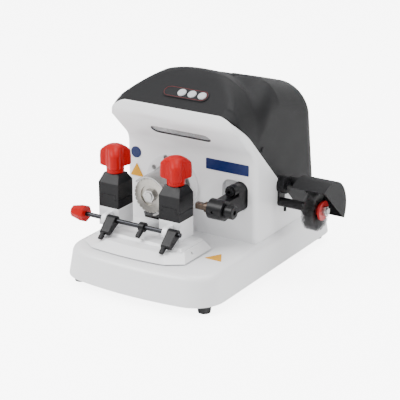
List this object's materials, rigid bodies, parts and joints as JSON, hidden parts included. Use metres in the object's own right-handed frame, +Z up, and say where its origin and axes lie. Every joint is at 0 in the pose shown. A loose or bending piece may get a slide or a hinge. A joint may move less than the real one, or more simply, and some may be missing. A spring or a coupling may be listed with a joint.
{
  "type": "key duplicating machine",
  "caption": "Bench key duplicating machine with two clamps on a sliding carriage, a cutter, a tracer and a side brush under a hood.",
  "frame": {"origin": "middle of the machine's footprint on the bench, under the rubber feet", "axes": "+X to the operator's right, +Y away from the operator, +Z up"},
  "size_m": [0.324, 0.373, 0.2853],
  "materials": {
    "base_white": "satin",
    "cover_black": "matte",
    "part_black": "satin",
    "steel": "satin",
    "dark_steel": "satin",
    "aluminium": "satin",
    "post_white": "satin",
    "knob_red": "gloss",
    "flange_red": "satin",
    "bristle": "matte",
    "rubber": "matte",
    "board": "gloss",
    "lens": "gloss",
    "plate_blue": "gloss",
    "sign_yellow": "satin",
    "brass": "satin"
  },
  "bodies": {
    "base": {"base_casting": "base_white", "bottom_plate": "dark_steel", "rubber_feet": "rubber", "foot_screws": "steel", "body_casting": "base_white", "top_cover": "cover_black", "cover_screws": "part_black", "control_panel": "cover_black", "circuit_boards": "board", "lamp_lens": "lens", "nameplate": "plate_blue", "round_sign": "plate_blue", "warning_triangles": "sign_yellow", "spindle_housing": "aluminium", "head_screws": "steel", "spindle_bearings": "steel", "cutter_guard": "aluminium", "chip_deflector": "steel", "motor_bracket": "steel", "cutter_motor": "dark_steel", "drive_belt": "rubber", "tracer_arm": "part_black", "tracer_clamp_screw": "part_black", "set_screws": "dark_steel", "brush_motor": "dark_steel", "brush_bracket": "part_black", "rail_rods": "steel", "rear_panel": "part_black", "power_inlet": "part_black"},
    "spindle": {"spindle_shaft": "steel", "cutter_wheel": "steel", "cutter_nut": "steel", "spindle_pulley": "aluminium"},
    "motor_rotor": {"motor_pulley": "aluminium"},
    "brush": {"brush_shaft": "steel", "brush_wheel": "bristle", "brush_flanges": "flange_red", "brush_nut": "steel"},
    "hood": {"brush_hood": "cover_black"},
    "tracer_adjust": {"tracer_adjuster": "part_black"},
    "tracer": {"tracer_pin": "brass"},
    "cutter_switch": {"cutter_button": "cover_black"},
    "brush_switch": {"brush_button": "cover_black"},
    "lamp_switch": {"lamp_button": "cover_black"},
    "rocker": {"rocker_switch": "part_black"},
    "cross_slide": {"cross_slide": "aluminium", "cross_rods": "steel"},
    "platform": {"carriage_platform": "base_white", "slide_block": "aluminium", "vice_posts": "post_white", "lower_jaws": "part_black", "clamp_studs": "steel"},
    "jaw_left": {"upper_jaw_left": "part_black"},
    "jaw_right": {"upper_jaw_right": "part_black"},
    "knob_left": {"clamp_knob_left": "knob_red"},
    "knob_right": {"clamp_knob_right": "knob_red"},
    "gauge": {"gauge_rod": "dark_steel", "gauge_knob": "knob_red", "gauge_clips": "part_black", "gauge_lever": "part_black"}
  },
  "joints": [
    {"name": "carriage_travel", "type": "slide", "parent": "base", "child": "cross_slide", "axis": [0, 1, 0], "range_m": [-0.02, 0.015]},
    {"name": "cross_feed", "type": "slide", "parent": "cross_slide", "child": "platform", "axis": [1, 0, 0], "range_m": [0, 0.01]},
    {"name": "jaw_left_lift", "type": "slide", "parent": "platform", "child": "jaw_left", "axis": [0, 0, 1], "range_m": [0, 0.006], "stiffness_N_per_m": 20, "springref_m": 0.1247},
    {"name": "knob_left_turn", "type": "hinge", "parent": "jaw_left", "child": "knob_left", "pos_m": [-0.1097, -0.0916, 0.15], "axis": [0, 0, 1], "range_deg": [0, 1085]},
    {"name": "jaw_right_lift", "type": "slide", "parent": "platform", "child": "jaw_right", "axis": [0, 0, 1], "range_m": [0, 0.006], "stiffness_N_per_m": 20, "springref_m": 0.1247},
    {"name": "knob_right_turn", "type": "hinge", "parent": "jaw_right", "child": "knob_right", "pos_m": [-0.0097, -0.0916, 0.15], "axis": [0, 0, 1], "range_deg": [0, 1085]},
    {"name": "gauge_swing", "type": "hinge", "parent": "platform", "child": "gauge", "pos_m": [-0.045, -0.1205, 0.086], "axis": [-1, 0, 0], "range_deg": [0, 125]},
    {"name": "spindle_spin", "type": "hinge", "parent": "base", "child": "spindle", "pos_m": [-0.0575, -0.0665, 0.1175], "axis": [0, 1, 0], "continuous": true},
    {"name": "motor_spin", "type": "hinge", "parent": "base", "child": "motor_rotor", "pos_m": [-0.0575, 0.0135, 0.19], "axis": [0, 1, 0], "continuous": true},
    {"name": "brush_spin", "type": "hinge", "parent": "base", "child": "brush", "pos_m": [0.122, 0.0375, 0.098], "axis": [1, 0, 0], "continuous": true},
    {"name": "hood_tilt", "type": "hinge", "parent": "base", "child": "hood", "pos_m": [0.087, 0.0395, 0.123], "axis": [-1, 0, 0], "range_deg": [0, 20]},
    {"name": "tracer_turn", "type": "hinge", "parent": "base", "child": "tracer_adjust", "pos_m": [0.067, -0.0815, 0.118], "axis": [1, 0, 0], "range_deg": [-360, 360]},
    {"name": "tracer_slide", "type": "slide", "parent": "base", "child": "tracer", "axis": [1, 0, 0], "range_m": [-0.00102, 0.00102]},
    {"name": "rocker_tip", "type": "hinge", "parent": "base", "child": "rocker", "pos_m": [-0.008, 0.1555, 0.084], "axis": [1, 0, 0], "range_deg": [0, 16]},
    {"name": "cutter_press", "type": "slide", "parent": "base", "child": "cutter_switch", "axis": [0, 0.5126, -0.8586], "range_m": [0, 0.0015], "stiffness_N_per_m": 400, "springref_m": -0.0002},
    {"name": "brush_press", "type": "slide", "parent": "base", "child": "brush_switch", "axis": [0, 0.5126, -0.8586], "range_m": [0, 0.0015], "stiffness_N_per_m": 400, "springref_m": -0.0002},
    {"name": "lamp_press", "type": "slide", "parent": "base", "child": "lamp_switch", "axis": [0, 0.5126, -0.8586], "range_m": [0, 0.0015], "stiffness_N_per_m": 400, "springref_m": -0.0002}
  ],
  "couplings": [
    {"joint": "knob_left_turn", "follows": "jaw_left_lift", "rad_per_m": 3141.6},
    {"joint": "knob_right_turn", "follows": "jaw_right_lift", "rad_per_m": 3141.6},
    {"joint": "motor_spin", "follows": "spindle_spin", "ratio": 1},
    {"joint": "tracer_slide", "follows": "tracer_turn", "m_per_rad": 0.00015915}
  ]
}
